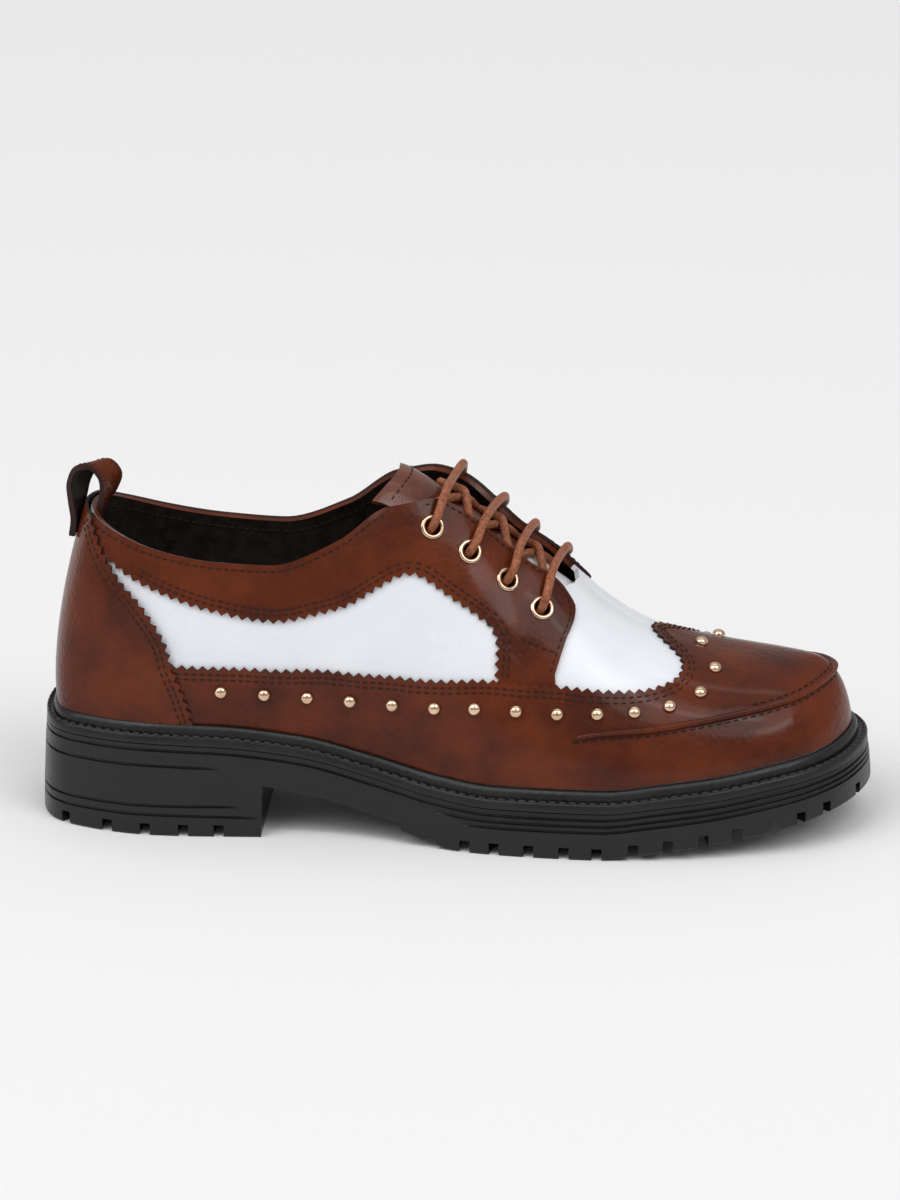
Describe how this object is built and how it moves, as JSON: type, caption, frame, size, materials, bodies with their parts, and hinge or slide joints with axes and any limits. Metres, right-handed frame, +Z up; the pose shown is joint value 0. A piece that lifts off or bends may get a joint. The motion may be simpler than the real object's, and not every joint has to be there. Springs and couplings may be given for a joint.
{
  "type": "studded shoe",
  "caption": "Two-tone lace-up wingtip shoe with domed studs, a stacked lug sole and heel, and a pull loop.",
  "frame": {"origin": "on the floor under the middle of the heel, where the heel rests", "axes": "+X towards the toe, +Y towards the inner side of the foot, +Z up"},
  "size_m": [0.28, 0.1009, 0.1205],
  "materials": {
    "black_rubber": "satin black moulded rubber",
    "brown_leather": "glossy antiqued brown leather",
    "white_leather": "smooth glossy white leather",
    "dark_lining": "matt dark lining",
    "pale_gold": "polished pale gold",
    "waxed_cord": "waxed round cord"
  },
  "bodies": {
    "root": {"outsole": "black_rubber", "welt": "black_rubber", "insole": "dark_lining", "upper": "white_leather", "heel_counter": "brown_leather", "wing": "brown_leather", "eyestay_outer": "brown_leather", "eyestay_inner": "brown_leather", "apron_seam": "brown_leather", "tongue": "brown_leather", "pull_loop": "brown_leather", "lace_bar_1": "waxed_cord", "eyelet_outer_1": "pale_gold", "eyelet_inner_1": "pale_gold", "lace_bar_2": "waxed_cord", "eyelet_outer_2": "pale_gold", "eyelet_inner_2": "pale_gold", "lace_bar_3": "waxed_cord", "eyelet_outer_3": "pale_gold", "eyelet_inner_3": "pale_gold", "lace_bar_4": "waxed_cord", "eyelet_outer_4": "pale_gold", "eyelet_inner_4": "pale_gold", "lace_crossing_1": "waxed_cord", "lace_crossing_2": "waxed_cord", "lace_crossing_3": "waxed_cord", "stud_outer_01": "pale_gold", "stud_inner_01": "pale_gold", "stud_outer_02": "pale_gold", "stud_inner_02": "pale_gold", "stud_outer_03": "pale_gold", "stud_inner_03": "pale_gold", "stud_outer_04": "pale_gold", "stud_inner_04": "pale_gold", "stud_outer_05": "pale_gold", "stud_inner_05": "pale_gold", "stud_outer_06": "pale_gold", "stud_inner_06": "pale_gold", "stud_outer_07": "pale_gold", "stud_inner_07": "pale_gold", "stud_outer_08": "pale_gold", "stud_inner_08": "pale_gold", "stud_outer_09": "pale_gold", "stud_inner_09": "pale_gold", "stud_outer_10": "pale_gold", "stud_inner_10": "pale_gold", "stud_outer_11": "pale_gold", "stud_inner_11": "pale_gold", "stud_outer_12": "pale_gold", "stud_inner_12": "pale_gold", "stud_outer_13": "pale_gold", "stud_inner_13": "pale_gold", "stud_outer_14": "pale_gold", "stud_inner_14": "pale_gold", "stud_centre": "pale_gold"}
  },
  "joints": []
}
